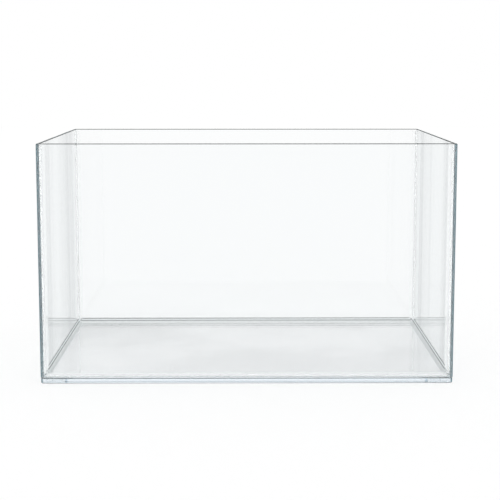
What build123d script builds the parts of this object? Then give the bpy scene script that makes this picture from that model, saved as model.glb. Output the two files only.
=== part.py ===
from build123d import *
import os

# A rimless glass aquarium: five clear panes that silicone alone holds together.
# Millimetres, +Z up. The origin is the middle of the underside, and the front faces -Y.

# Outside of the tank
tank_length = 600.0  # left to right, along X
tank_depth = 350.0  # front to back, along Y
tank_height = 350.0  # from the underside to the rim

# Glass
wall_thickness = 4.0
base_thickness = 8.0
arris = 1.0  # polished bevel along the edges of every pane
base_corner_radius = 4.0  # dubbed corners of the base, seen from above
top_corner_radius = 2.0  # dubbed upper corners of the front and back panes

# Clear silicone
bond_thickness = 0.8  # the gap between two panes, which the bond fills
bead_leg = 7.5  # how far a bead reaches along each of the two panes that it seals
bead_hollow = 1.8  # how deep the bead's tooled face dips below a flat bevel
bead_top_gap = 3.0  # an upright bead stops this far below the rim

# Levels and faces that the pieces share
floor_level = base_thickness
wall_bottom = floor_level + bond_thickness
wall_height = tank_height - wall_bottom
wall_middle = wall_bottom + wall_height / 2
outer_x = tank_length / 2
outer_y = tank_depth / 2
inner_x = outer_x - wall_thickness
inner_y = outer_y - wall_thickness
side_pane_depth = 2 * (inner_y - bond_thickness)

# -1 is the left or the front, and 1 is the right or the back
left_and_right = (("left", -1), ("right", 1))
front_and_back = (("front", -1), ("back", 1))

os.makedirs("parts", exist_ok=True)


def save(piece, name):
    """Label a finished piece and write it as its own STEP file."""
    piece.label = name
    export_step(piece, f"parts/{name}.step")


def bond_outline(side, outer_face, end_side, end_face):
    """Section of the silicone under a pane's edge.

    It starts behind the outer arris, so that the seam shows as a fine groove, and it
    fills the inner arris. The pane's faces are measured along the first direction and
    the gap along the second, away from end_face.
    """
    outer_end = side * (outer_face - arris)
    arris_start = side * (outer_face - wall_thickness + arris)
    inner_end = side * (outer_face - wall_thickness)
    gap_end = end_face - end_side * bond_thickness
    arris_end = gap_end - end_side * arris
    Polyline(
        (outer_end, end_face),
        (inner_end, end_face),
        (inner_end, arris_end),
        (arris_start, gap_end),
        (outer_end, gap_end),
        close=True,
    )


def bead_outline(side, face, end_side, end_face):
    """Section of a bead: two flat legs in the corner and a hollow tooled face."""
    leg_end = face - side * bead_leg
    top_end = end_face - end_side * bead_leg
    middle = bead_leg / 2 - bead_hollow / 2**0.5
    Polyline((leg_end, end_face), (face, end_face), (face, top_end))
    ThreePointArc(
        (face, top_end),
        (face - side * middle, end_face - end_side * middle),
        (leg_end, end_face),
    )


def mitre_plane(side_x, side_y, facing):
    """Upright plane at 45 degrees through an inside corner of the walls.

    With facing 1 it looks along the front or back wall, and with -1 along a side wall.
    """
    return Plane(
        origin=(side_x * inner_x, side_y * inner_y, floor_level),
        z_dir=(-side_x * facing, side_y * facing, 0),
    )


# Base pane, which all four walls stand on
with BuildPart() as base_pane:
    with BuildSketch():
        RectangleRounded(tank_length, tank_depth, base_corner_radius)
    extrude(amount=base_thickness)
    chamfer(base_pane.faces().filter_by(Axis.Z).edges(), length=arris)
save(base_pane.part, "base_pane")

# Front and back panes run the full length and cover the ends of the side panes
for name, side in front_and_back:
    with BuildPart() as long_pane:
        with BuildSketch(Plane.XZ.offset(-side * outer_y)):
            with Locations((0, wall_middle)):
                Rectangle(tank_length, wall_height)
        extrude(amount=side * wall_thickness)
        fillet(long_pane.edges().filter_by(Axis.Y).group_by(Axis.Z)[-1], radius=top_corner_radius)
        chamfer(long_pane.faces().filter_by(Axis.Y).edges(), length=arris)
    save(long_pane.part, f"{name}_pane")

# Side panes stand between the front and back panes, one bond away from each
for name, side in left_and_right:
    with BuildPart() as side_pane:
        with BuildSketch(Plane.YZ.offset(side * outer_x)):
            with Locations((0, wall_middle)):
                Rectangle(side_pane_depth, wall_height)
        extrude(amount=-side * wall_thickness)
        chamfer(side_pane.faces().filter_by(Axis.X).edges(), length=arris)
    save(side_pane.part, f"{name}_pane")

# Bonds under the front and back panes, whose ends follow the base's rounded corners
for name, side in front_and_back:
    with BuildPart() as long_bond:
        with BuildSketch(Plane.YZ.offset(-outer_x + arris)):
            with BuildLine():
                bond_outline(side, outer_y, -1, floor_level)
            make_face()
        extrude(amount=tank_length - 2 * arris)
        with BuildSketch(Plane.XY.offset(floor_level)):
            RectangleRounded(tank_length - 2 * arris, tank_depth - 2 * arris, base_corner_radius - arris)
        extrude(amount=bond_thickness + arris, mode=Mode.INTERSECT)
    save(long_bond.part, f"{name}_base_bond")

# Bonds under the side panes, from the front pane's inner face to the back pane's
side_bonds = {}
for name, side in left_and_right:
    with BuildPart() as side_bond:
        with BuildSketch(Plane.XZ.offset(inner_y)):
            with BuildLine():
                bond_outline(side, outer_x, -1, floor_level)
            make_face()
        extrude(amount=-2 * inner_y)
    side_bonds[side] = side_bond.part
    save(side_bond.part, f"{name}_base_bond")

# Upright bonds between the ends of the side panes and the front and back panes
for end_name, end_side in front_and_back:
    for name, side in left_and_right:
        with BuildPart() as upright_bond:
            with BuildSketch(Plane.XY.offset(wall_bottom)):
                with BuildLine():
                    bond_outline(side, outer_x, end_side, end_side * inner_y)
                make_face()
            extrude(amount=wall_height - arris)
            add(side_bonds[side], mode=Mode.SUBTRACT)
        save(upright_bond.part, f"{end_name}_{name}_bond")

# Beads along the floor, mitred where two of them meet in a corner
floor_beads = {}
for name, side in front_and_back:
    with BuildPart() as long_bead:
        with BuildSketch(Plane.YZ.offset(-inner_x)):
            with BuildLine():
                bead_outline(side, side * inner_y, -1, floor_level)
            make_face()
        extrude(amount=2 * inner_x)
        split(bisect_by=mitre_plane(-1, side, 1), keep=Keep.TOP)
        split(bisect_by=mitre_plane(1, side, 1), keep=Keep.TOP)
    floor_beads[name] = long_bead.part
    save(long_bead.part, f"{name}_base_bead")

for name, side in left_and_right:
    with BuildPart() as side_bead:
        with BuildSketch(Plane.XZ.offset(inner_y)):
            with BuildLine():
                bead_outline(side, side * inner_x, -1, floor_level)
            make_face()
        extrude(amount=-2 * inner_y)
        split(bisect_by=mitre_plane(side, -1, -1), keep=Keep.TOP)
        split(bisect_by=mitre_plane(side, 1, -1), keep=Keep.TOP)
    floor_beads[name] = side_bead.part
    save(side_bead.part, f"{name}_base_bead")

# Upright beads in the four inside corners, which come down onto the floor beads
for end_name, end_side in front_and_back:
    for name, side in left_and_right:
        with BuildPart() as upright_bead:
            with BuildSketch(Plane.XY.offset(floor_level)):
                with BuildLine():
                    bead_outline(side, side * inner_x, end_side, end_side * inner_y)
                make_face()
            extrude(amount=tank_height - bead_top_gap - floor_level)
            add(floor_beads[end_name], mode=Mode.SUBTRACT)
            add(floor_beads[name], mode=Mode.SUBTRACT)
        save(upright_bead.part, f"{end_name}_{name}_bead")
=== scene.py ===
import math

import bmesh
import bpy
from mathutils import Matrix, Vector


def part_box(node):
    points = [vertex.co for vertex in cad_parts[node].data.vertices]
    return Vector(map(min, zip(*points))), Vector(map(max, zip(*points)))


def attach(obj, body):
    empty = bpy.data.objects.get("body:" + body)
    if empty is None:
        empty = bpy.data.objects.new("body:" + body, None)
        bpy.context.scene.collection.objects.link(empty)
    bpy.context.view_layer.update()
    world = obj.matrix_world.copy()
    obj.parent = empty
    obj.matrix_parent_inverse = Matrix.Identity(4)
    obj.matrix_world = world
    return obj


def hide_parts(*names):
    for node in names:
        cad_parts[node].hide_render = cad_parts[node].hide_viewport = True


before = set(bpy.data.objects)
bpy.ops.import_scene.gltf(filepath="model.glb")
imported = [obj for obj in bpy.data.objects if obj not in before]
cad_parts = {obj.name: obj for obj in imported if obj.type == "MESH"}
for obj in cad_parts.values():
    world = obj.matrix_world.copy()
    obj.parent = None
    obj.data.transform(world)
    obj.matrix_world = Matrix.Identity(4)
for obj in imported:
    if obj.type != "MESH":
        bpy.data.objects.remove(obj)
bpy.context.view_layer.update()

scene = bpy.context.scene

MM = 0.001
X, Y, Z = 0, 1, 2
WHITE = (1, 1, 1, 1)

# Sizes and levels, read from the frame
OUTER_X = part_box("base_pane")[1].x
OUTER_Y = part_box("base_pane")[1].y
FLOOR_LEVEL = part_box("base_pane")[1].z
RIM_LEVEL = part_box("front_pane")[1].z
WALL_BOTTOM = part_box("front_pane")[0].z
INNER_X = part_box("right_pane")[0].x
INNER_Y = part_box("back_pane")[0].y
WALL = OUTER_X - INNER_X
BOND = WALL_BOTTOM - FLOOR_LEVEL
ARRIS = OUTER_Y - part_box("back_base_bond")[1].y
BEAD_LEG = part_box("back_base_bead")[1].z - FLOOR_LEVEL
BEAD_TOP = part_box("back_left_bead")[1].z

# The base's rounded corners begin where its straight outermost edge ends
TOUCHING = 0.01 * MM
base_points = [vertex.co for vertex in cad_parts["base_pane"].data.vertices]
BASE_CORNER = OUTER_X - max(point.x for point in base_points if point.y > OUTER_Y - TOUCHING)

# A bead's hollow face is an arc about a point as far from one pane as from the other. An
# upright bead's lowest point is the middle of the floor beads' faces.
BEAD_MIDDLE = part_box("back_left_bead")[0].z - FLOOR_LEVEL
BEAD_HOLLOW = (BEAD_LEG / 2 - BEAD_MIDDLE) * math.sqrt(2)
BEAD_RADIUS = (BEAD_LEG**2 / 2 + BEAD_HOLLOW**2) / (2 * BEAD_HOLLOW)
BEAD_CENTRE = BEAD_MIDDLE + BEAD_RADIUS / math.sqrt(2)

# Silicone wets the glass, so its skins reach this far into the panes
SEAT = 0.03 * MM

# Points of a skin that are closer than this are one
SAME_POINT = 0.0005 * MM

# A bond's outer face is hollow: how deep, and by what share of that at each share of the gap
BOND_DIP = 0.15 * MM
BOND_FACE = [(0.75, 0.7), (0.5, 1.0), (0.25, 0.7)]

# Along a floor bead's face, from the wall: a dark edge, a bright band and a dark line, painted as shade,
# highlight and shade
DARK_EDGE = 1.4 * MM
BRIGHT_BAND = 2.2 * MM
INNER_DARK_LINE = 1.3 * MM

# Straight steps in the turn of a base corner, and in the rest of a bead's face
CORNER_STEPS = 8
BEAD_STEPS = 16


# Materials


class Tree:
    """Node tree of a material or a world, with short ways to add and join nodes."""

    def __init__(self, owner):
        owner.use_nodes = True
        self.owner = owner
        self.nodes = owner.node_tree.nodes
        self.links = owner.node_tree.links
        self.nodes.clear()
        is_world = isinstance(owner, bpy.types.World)
        self.output = self.nodes.new("ShaderNodeOutputWorld" if is_world else "ShaderNodeOutputMaterial")

    def add(self, kind, values=None, **settings):
        """New node with its settings, and each input set to a value or joined to a socket."""
        node = self.nodes.new("ShaderNode" + kind)
        for key, value in settings.items():
            setattr(node, key, value)
        for key, value in (values or {}).items():
            if isinstance(value, bpy.types.NodeSocket):
                self.links.new(value, node.inputs[key])
            else:
                node.inputs[key].default_value = value
        return node

    def math(self, operation, first, second):
        """Output of a Math node on two values or sockets."""
        return self.add("Math", {0: first, 1: second}, operation=operation).outputs[0]

    def product(self, result, *factors):
        """Product of two or more values or sockets."""
        for factor in factors:
            result = self.math("MULTIPLY", result, factor)
        return result

    def rest_of(self, share):
        """What a share leaves of 1."""
        return self.math("SUBTRACT", 1.0, share)

    def absolute(self, socket):
        """Absolute value of a number."""
        return self.math("ABSOLUTE", socket, 0.0)

    def parts(self, socket):
        """The three parts of a vector."""
        return self.add("SeparateXYZ", {0: socket}).outputs

    def ramp(self, value, low, high, start, end):
        """Smooth step of value between low and high, from start to end."""
        values = {"Value": value, "From Min": low, "From Max": high, "To Min": start, "To Max": end}
        return self.add("MapRange", values, interpolation_type="SMOOTHSTEP").outputs[0]

    def profile(self, value, marks):
        """Strength at a value from 0 to 1, between marks that each give a place and a strength."""
        curve = self.add("ValToRGB", {0: value})
        stops = curve.color_ramp.elements
        stops[0].position = marks[0][0]
        stops[1].position = marks[-1][0]
        for position, _ in marks[1:-1]:
            stops.new(position)
        for stop, (_, strength) in zip(stops, marks):
            stop.color = (strength, strength, strength, 1)
        return curve.outputs[0]

    def patches(self, scale, size, detail, spread, least, most):
        """Soft patches between two levels, fixed to the object and stretched along its axes.

        spread is how far from its middle value the noise reaches either level.
        """
        place = self.add("TexCoord").outputs["Object"]
        stretched = self.add("Mapping", {"Vector": place, "Scale": scale}).outputs[0]
        values = {"Vector": stretched, "Scale": size, "Detail": detail}
        noise = self.add("TexNoise", values).outputs[0]
        return self.ramp(noise, 0.5 - spread, 0.5 + spread, least, most)

    def mix(self, share, first, second):
        """Shader that goes from first to second as share goes from 0 to 1."""
        return self.add("MixShader", {0: share, 1: first, 2: second}).outputs[0]

    def matt(self, colour):
        """Diffuse shader of one colour."""
        return self.add("BsdfDiffuse", {"Color": colour}).outputs[0]

    def clear(self, ior):
        """Clear shader with a smooth surface."""
        values = {"Base Color": WHITE, "Roughness": 0.0, "IOR": ior, "Transmission Weight": 1.0}
        return self.add("BsdfPrincipled", values).outputs[0]

    def clear_to_light(self, surface, tint):
        """Surface that lets lamp light and scattered light straight through, with a tint."""
        path = self.add("LightPath").outputs
        lit = self.math("MAXIMUM", path["Is Shadow Ray"], path["Is Diffuse Ray"])
        through = self.add("BsdfTransparent", {"Color": (*tint, 1)}).outputs[0]
        self.links.new(self.mix(lit, surface, through), self.output.inputs["Surface"])

    def seen(self):
        """1 for a ray that shows the background: to the camera, by reflection or through glass."""
        path = self.add("LightPath").outputs
        seen = self.math("MAXIMUM", path["Is Camera Ray"], path["Is Glossy Ray"])
        return self.math("MAXIMUM", seen, path["Is Transmission Ray"])


# Glass, polished on its faces, with painted shade on its arrises for the dark edges that refraction
# gives glass
GLASS_IOR = 1.52
# Painted shade of the arrises: dark on the level ones, teal on the upright ones
EDGE_SHADE_COLOUR = (0.075, 0.085, 0.085, 1)
TEAL_EDGE_SHADE_COLOUR = (0.12, 0.20, 0.23, 1)
# Grey of a dust layer on the glass, used also as painted grey reflection and painted shade
FILM_AND_PAINTED_LIGHT_COLOUR = (0.30, 0.31, 0.32, 1)
EVEN = (1, 1, 1)

# The largest part of a normal is 1 on a flat face and about 0.7 on an arris
ARRIS_MOST = 0.93
FACE_LEAST = 0.99

# The normal of a level arris rises or falls by more than this, and an upright one's by less
LEVEL_LEAST = 0.3

# How much of the level arrises' painted shade shows from inside the glass
LEVEL_INSIDE = 0.15

# The dust layer, with painted grey reflection, grows with this power as a face turns edge-on, and fades
# out before the silicone
FILM_AND_PAINTED_LIGHT_POWER = 3.0
CLEAN_FADE = 1 * MM


def arris_shares(tree, across, top, foot, upright):
    """How far each arris of a pane has painted shade rather than clear polish, and whether it runs
    upright.

    across is the axis through the pane. foot and upright each hold two shares, for the outer
    and the inner arris.
    """
    normal = tree.parts(tree.add("NewGeometry").outputs["True Normal"])
    place = tree.parts(tree.add("TexCoord").outputs["Object"])
    widest = tree.math("MAXIMUM", tree.absolute(normal[X]), tree.absolute(normal[Y]))
    widest = tree.math("MAXIMUM", widest, tree.absolute(normal[Z]))
    slanted = tree.ramp(widest, ARRIS_MOST, FACE_LEAST, 1.0, 0.0)
    outward = tree.math("GREATER_THAN", tree.product(normal[across], place[across]), 0.0)
    foot_share = tree.ramp(outward, 0.0, 1.0, foot[1], foot[0])
    upright_share = tree.ramp(outward, 0.0, 1.0, upright[1], upright[0])
    faces_up = tree.math("GREATER_THAN", normal[Z], LEVEL_LEAST)
    faces_down = tree.math("LESS_THAN", normal[Z], -LEVEL_LEAST)
    runs_upright = tree.rest_of(tree.math("ADD", faces_up, faces_down))
    share = tree.product(faces_up, top)
    share = tree.math("ADD", share, tree.product(faces_down, foot_share))
    share = tree.math("ADD", share, tree.product(runs_upright, upright_share))
    return tree.product(slanted, share), runs_upright


def film_and_painted_light_share(tree, strength, streaks, clean, wiping_and_reflection=None):
    """Share of a faint wiped dust layer with painted grey reflection and shade, which shows where a face
    is seen edge-on.

    streaks is the scale of its noise on each axis. clean lists the axes and distances past
    which silicone covers the glass. wiping_and_reflection lists places from the front to the
    back, from 0 to 1, each with how strong the wipe marks and painted reflection are there.
    """
    place = tree.parts(tree.add("TexCoord").outputs["Object"])
    facing = tree.add("LayerWeight", {"Blend": 0.5}).outputs["Facing"]
    streaked = tree.patches(streaks, size=1.0, detail=3.0, spread=0.15, least=0.45, most=1.0)
    outside = tree.rest_of(tree.add("NewGeometry").outputs["Backfacing"])
    share = tree.product(tree.math("POWER", facing, FILM_AND_PAINTED_LIGHT_POWER), strength, streaked, outside)
    if wiping_and_reflection:
        along = tree.math("DIVIDE", tree.math("ADD", place[Y], INNER_Y), 2 * INNER_Y)
        share = tree.product(share, tree.profile(along, wiping_and_reflection))
    for axis, limit in clean:
        distance = tree.absolute(place[axis])
        share = tree.product(share, tree.ramp(distance, limit - CLEAN_FADE, limit, 1.0, 0.0))
    return share


def glass_material(name, absorbed, tint, arrises, film_and_painted_light, upright_inside=1.0):
    """Clear glass with painted shade on its arrises, and a faint dust layer with painted grey
    reflection.

    absorbed is the light taken per metre in red, green and blue. upright_inside is how much
    of the upright arrises' painted shade shows from inside the glass.
    """
    tree = Tree(bpy.data.materials.new(name))
    with_film_and_painted_light = tree.mix(film_and_painted_light_share(tree, **film_and_painted_light), tree.clear(GLASS_IOR), tree.matt(FILM_AND_PAINTED_LIGHT_COLOUR))

    share, runs_upright = arris_shares(tree, **arrises)
    # Uneven patches in the painted arris shade
    shade_patches = tree.patches(EVEN, size=300.0, detail=2.0, spread=0.2, least=0.92, most=1.0)
    inside = tree.add("NewGeometry").outputs["Backfacing"]
    kept = tree.ramp(runs_upright, 0.0, 1.0, LEVEL_INSIDE, upright_inside)
    lost = tree.product(inside, tree.rest_of(kept))
    share = tree.product(share, shade_patches, tree.rest_of(lost))
    # Painted dark shade on level arrises and painted teal shade on upright ones
    edge_shade = tree.mix(runs_upright, tree.matt(EDGE_SHADE_COLOUR), tree.matt(TEAL_EDGE_SHADE_COLOUR))
    tree.clear_to_light(tree.mix(share, with_film_and_painted_light, edge_shade), tint)

    density = max(absorbed)
    colour = (*[1 - part / density for part in absorbed], 1)
    volume = tree.add("VolumeAbsorption", {"Color": colour, "Density": density})
    tree.links.new(volume.outputs[0], tree.output.inputs["Volume"])
    return tree.owner


WALL_ABSORBED = (6.6, 4.5, 3.9)
WALL_TINT = (0.98, 0.985, 0.985)
# The walls' dust layer also paints grey reflection where the glass is seen edge-on
WALL_FILM_AND_REFLECTION = 0.26
WALL_STREAKS = (25, 25, 0.3)
BASE_ABSORBED = (0.38, 0.20, 0.05)
BASE_TINT = (0.95, 0.955, 0.96)
# The base's dust layer also paints the shade on the floor under the tank
BASE_FILM_AND_SHADE = 0.60
BASE_STREAKS = (3, 3, 3)

# Silicone covers the glass past these places
COVERED_X = (X, INNER_X - BEAD_LEG)
COVERED_Y = (Y, INNER_Y - BEAD_LEG)

# Wipe marks and painted bands of grey reflection on the side panes, from the front to the back
WIPING_AND_REFLECTION = [
    (0.0, 0.05), (0.12, 0.05), (0.14, 0.58), (0.21, 0.50), (0.27, 0.26), (0.50, 0.22),
    (0.57, 0.40), (0.75, 0.70), (0.83, 0.80), (0.85, 1.0), (0.87, 0.40), (1.0, 0.30),
]

LONG_GLASS = glass_material(
    "front and back glass",
    WALL_ABSORBED,
    WALL_TINT,
    arrises={"across": Y, "top": 1.0, "foot": (0.0, 0.0), "upright": (0.95, 0.95)},
    film_and_painted_light={"strength": WALL_FILM_AND_REFLECTION, "streaks": WALL_STREAKS, "clean": [COVERED_X]},
)
SIDE_GLASS = glass_material(
    "side glass",
    WALL_ABSORBED,
    WALL_TINT,
    arrises={"across": X, "top": 0.92, "foot": (0.0, 0.0), "upright": (0.95, 0.0)},
    film_and_painted_light={
        "strength": 3 * WALL_FILM_AND_REFLECTION, "streaks": WALL_STREAKS, "clean": [COVERED_Y], "wiping_and_reflection": WIPING_AND_REFLECTION
    },
)
BASE_GLASS = glass_material(
    "base glass",
    BASE_ABSORBED,
    BASE_TINT,
    arrises={"across": Z, "top": 0.75, "foot": (0.95, 0.95), "upright": (0.9, 0.9)},
    film_and_painted_light={"strength": BASE_FILM_AND_SHADE, "streaks": BASE_STREAKS, "clean": [COVERED_X, COVERED_Y]},
    upright_inside=0.1,
)
PANES = {
    "base": BASE_GLASS, "front": LONG_GLASS, "back": LONG_GLASS, "left": SIDE_GLASS, "right": SIDE_GLASS
}
for name, glass in PANES.items():
    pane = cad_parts[f"{name}_pane"].data
    pane.materials.clear()
    pane.materials.append(glass)


# Silicone
SILICONE_IOR = 1.41
SILICONE_TINT = (0.96, 0.965, 0.965)


def silicone_material(name, milk_and_paint_colour, least, most):
    """Clear cured silicone with a share of a matt colour between two limits, which is milkiness in clear
    and cloudy silicone and painted shade and highlight in the bead marks.
    """
    tree = Tree(bpy.data.materials.new(name))
    cloud = tree.patches(EVEN, size=260.0, detail=3.0, spread=0.2, least=least, most=most)
    surface = tree.mix(cloud, tree.clear(SILICONE_IOR), tree.matt(milk_and_paint_colour))
    tree.clear_to_light(surface, SILICONE_TINT)
    return tree.owner


# Materials of every skin, and their places in this list
SKIN_MATERIALS = [
    silicone_material("clear silicone", (0.85, 0.88, 0.88, 1), least=0.02, most=0.08),
    # Painted shade: dark lines on the floor beads' faces
    silicone_material("silicone painted dark line", (0.08, 0.09, 0.09, 1), least=0.85, most=0.95),
    # Painted highlight: a bright band on the floor beads' faces
    silicone_material("silicone painted highlight", (0.95, 0.97, 0.97, 1), least=0.7, most=0.9),
    silicone_material("cloudy silicone", (0.72, 0.73, 0.73, 1), least=0.6, most=0.75),
]
CLEAR, PAINTED_DARK_LINE, PAINTED_HIGHLIGHT, CLOUDY = range(4)

# Faces of a bead after the one on the wall: painted dark edge, painted highlight band, painted dark line
# and the rest
BEAD_MARKS = {1: PAINTED_DARK_LINE, 2: PAINTED_HIGHLIGHT, 3: PAINTED_DARK_LINE}
BEAD_MARKS.update({face: CLOUDY for face in range(4, 4 + BEAD_STEPS)})


# Silicone pieces


def skin(node, rings, marks=None):
    """Closed silicone piece in place of a node, through rings of as many points each.

    marks gives the material of the faces between two rings that aren't clear.
    """
    marks = marks or {}
    name = f"{node}_silicone"
    count = len(rings[0])
    points = [point for ring in rings for point in ring]
    ends = [tuple(range(count)), tuple(range(len(points) - count, len(points)))]
    faces = []
    for start in range(0, len(points) - count, count):
        for i in range(count):
            j = (i + 1) % count
            faces.append((start + i, start + j, start + count + j, start + count + i))
    mesh = bpy.data.meshes.new(name)
    mesh.from_pydata(points, [], ends + faces)
    for material in SKIN_MATERIALS:
        mesh.materials.append(material)
    for polygon in mesh.polygons[len(ends):]:
        polygon.material_index = marks.get((polygon.index - len(ends)) % count, CLEAR)
    shell = bmesh.new()
    shell.from_mesh(mesh)
    bmesh.ops.remove_doubles(shell, verts=shell.verts, dist=SAME_POINT)
    bmesh.ops.recalc_face_normals(shell, faces=shell.faces)
    shell.to_mesh(mesh)
    shell.free()
    piece = bpy.data.objects.new(name, mesh)
    scene.collection.objects.link(piece)
    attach(piece, "root")
    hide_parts(node)


def bond_section(inset=0.0):
    """Outline of a bond: distance in from the outer face, and distance across the gap."""
    outer = ARRIS + inset
    return [
        (outer, -SEAT),
        (WALL + SEAT, -SEAT),
        (WALL + SEAT, BOND + ARRIS + 2 * SEAT),
        (max(WALL - ARRIS - SEAT / 2, outer), BOND + SEAT),
        (outer, BOND + SEAT),
        *[(outer + depth * BOND_DIP, BOND * height) for height, depth in BOND_FACE],
    ]


def bead_height(distance):
    """Height of a bead's hollow face above one pane, at a distance from the other pane."""
    distance = min(max(distance, 0.0), BEAD_LEG)
    return BEAD_CENTRE - math.sqrt(BEAD_RADIUS**2 - (BEAD_CENTRE - distance) ** 2)


def bead_section():
    """Outline of a bead: distances from the two panes that it seals.

    The first faces of its hollow side are the painted dark edge, the painted highlight band and the
    painted dark line.
    """
    turn = math.asin((BEAD_CENTRE - BEAD_LEG) / BEAD_RADIUS)
    end = math.pi / 2 - turn
    turns = []
    for width in (DARK_EDGE, BRIGHT_BAND, INNER_DARK_LINE):
        turn += width / BEAD_RADIUS
        turns.append(turn)
    turns += [turn + (end - turn) * i / BEAD_STEPS for i in range(1, BEAD_STEPS)]
    face = [
        (BEAD_CENTRE - BEAD_RADIUS * math.cos(t), BEAD_CENTRE - BEAD_RADIUS * math.sin(t))
        for t in turns
    ]
    return [(-SEAT, -SEAT), (-SEAT, BEAD_LEG), *face, (BEAD_LEG, -SEAT)]


def long_base_bond(end, side):
    """Bond under the front or back pane, whose ends follow the base's rounded corners."""
    radius = BASE_CORNER - ARRIS
    turns = [math.pi / 2 * i / CORNER_STEPS for i in range(CORNER_STEPS + 1)]
    right = [(OUTER_X - ARRIS - radius * (1 - math.cos(t)), radius * (1 - math.sin(t))) for t in turns]
    left = [(-x, inset) for x, inset in right]
    rings = [
        [(x, side * (OUTER_Y - u), FLOOR_LEVEL + v) for u, v in bond_section(inset)]
        for x, inset in left + right[::-1]
    ]
    skin(f"{end}_base_bond", rings)


def side_base_bond(end, side):
    """Bond under a side pane, between the bonds under the front and back panes."""
    run = INNER_Y - 2 * SEAT
    rings = [
        [(side * (OUTER_X - u), y, FLOOR_LEVEL + v) for u, v in bond_section()] for y in (-run, run)
    ]
    skin(f"{end}_base_bond", rings)


def upright_bond(end, side_y, end_x, side_x):
    """Bond between the end of a side pane and the front or back pane."""
    rings = [
        [(side_x * (OUTER_X - u), side_y * (INNER_Y - v), z) for u, v in bond_section()]
        for z in (WALL_BOTTOM, RIM_LEVEL - ARRIS)
    ]
    skin(f"{end}_{end_x}_bond", rings)


def long_base_bead(end, side, marks):
    """Bead at the foot of the front or back pane, mitred at both ends."""
    outline = bead_section()
    rings = [
        [(s * (INNER_X - max(d, 0) + SEAT), side * (INNER_Y - d), FLOOR_LEVEL + h) for d, h in outline]
        for s in (-1, 1)
    ]
    skin(f"{end}_base_bead", rings, marks)


def side_base_bead(end, side):
    """Bead at the foot of a side pane, mitred at both ends."""
    outline = bead_section()
    rings = [
        [(side * (INNER_X - d), s * (INNER_Y - max(d, 0) + SEAT), FLOOR_LEVEL + h) for d, h in outline]
        for s in (-1, 1)
    ]
    skin(f"{end}_base_bead", rings, BEAD_MARKS)


def upright_bead(end, side_y, end_x, side_x):
    """Bead in an inside corner of the walls, from the floor beads up to just below the rim.

    It stays just off the side pane, and that gap reflects the light beside the pane's dark end.
    """
    outline = [(max(a, SEAT), b) for a, b in bead_section()]
    low = [
        (side_x * (INNER_X - a), side_y * (INNER_Y - b), FLOOR_LEVEL + bead_height(min(a, b)) - SEAT)
        for a, b in outline
    ]
    high = [(side_x * (INNER_X - a), side_y * (INNER_Y - b), BEAD_TOP) for a, b in outline]
    skin(f"{end}_{end_x}_bead", [low, high])


# The front floor bead has no marks, because the photo shows no such lines there
for end, side, marks in (("front", -1, {}), ("back", 1, BEAD_MARKS)):
    long_base_bond(end, side)
    long_base_bead(end, side, marks)
    for end_x, side_x in (("left", -1), ("right", 1)):
        upright_bond(end, side, end_x, side_x)
        upright_bead(end, side, end_x, side_x)
for end, side in (("left", -1), ("right", 1)):
    side_base_bond(end, side)
    side_base_bead(end, side)


# Pale floor. Half of what is seen of it is its own white, and the other half keeps the shadow.
FLOOR_SIZE = 12
FLOOR_DROP = 0.1 * MM
FLOOR_GLOW = 0.5
PAPER_COLOUR = (0.95, 0.95, 0.95, 1)

bpy.ops.mesh.primitive_plane_add(size=FLOOR_SIZE, location=(0, 0, -FLOOR_DROP))
floor = bpy.context.object
floor.name = "studio_floor"
tree = Tree(bpy.data.materials.new("floor"))
glow = tree.add("Emission", {"Color": WHITE, "Strength": 1.0}).outputs[0]
glowing = tree.mix(tree.product(tree.seen(), FLOOR_GLOW), tree.matt(PAPER_COLOUR), glow)
tree.links.new(glowing, tree.output.inputs["Surface"])
floor.data.materials.append(tree.owner)

# White backdrop and soft light
LIGHT_LEVEL = 1.06

scene.world = bpy.data.worlds.new("studio")
tree = Tree(scene.world)
white = tree.add("Background", {"Color": WHITE, "Strength": 1.0}).outputs[0]
light = tree.add("Background", {"Color": WHITE, "Strength": LIGHT_LEVEL}).outputs[0]
tree.links.new(tree.mix(tree.seen(), light, white), tree.output.inputs["Surface"])

# Camera, with its tilt and turn in degrees. A larger shift cuts the tank off in other views.
CAMERA_LENS = 77.78
CAMERA_SHIFT = -0.13
CAMERA_ASIDE = -4.55 * MM
CAMERA_DISTANCE = 1531.8 * MM
CAMERA_HEIGHT = 462.8 * MM
CAMERA_TILT = 6.407
CAMERA_TURN = -0.339

camera = bpy.data.objects.new("camera", bpy.data.cameras.new("camera"))
scene.collection.objects.link(camera)
scene.camera = camera
camera.data.lens = CAMERA_LENS
camera.data.shift_y = CAMERA_SHIFT
camera.location = (CAMERA_ASIDE, -OUTER_Y - CAMERA_DISTANCE, CAMERA_HEIGHT)
camera.rotation_euler = (math.radians(90 - CAMERA_TILT), 0, math.radians(CAMERA_TURN))

# Light passes many faces of glass and silicone
GLASS_BOUNCES = 48
DIFFUSE_BOUNCES = 4

scene.view_settings.view_transform = "Standard"
scene.cycles.max_bounces = GLASS_BOUNCES
scene.cycles.transmission_bounces = GLASS_BOUNCES
scene.cycles.glossy_bounces = GLASS_BOUNCES
scene.cycles.transparent_max_bounces = GLASS_BOUNCES
scene.cycles.diffuse_bounces = DIFFUSE_BOUNCES
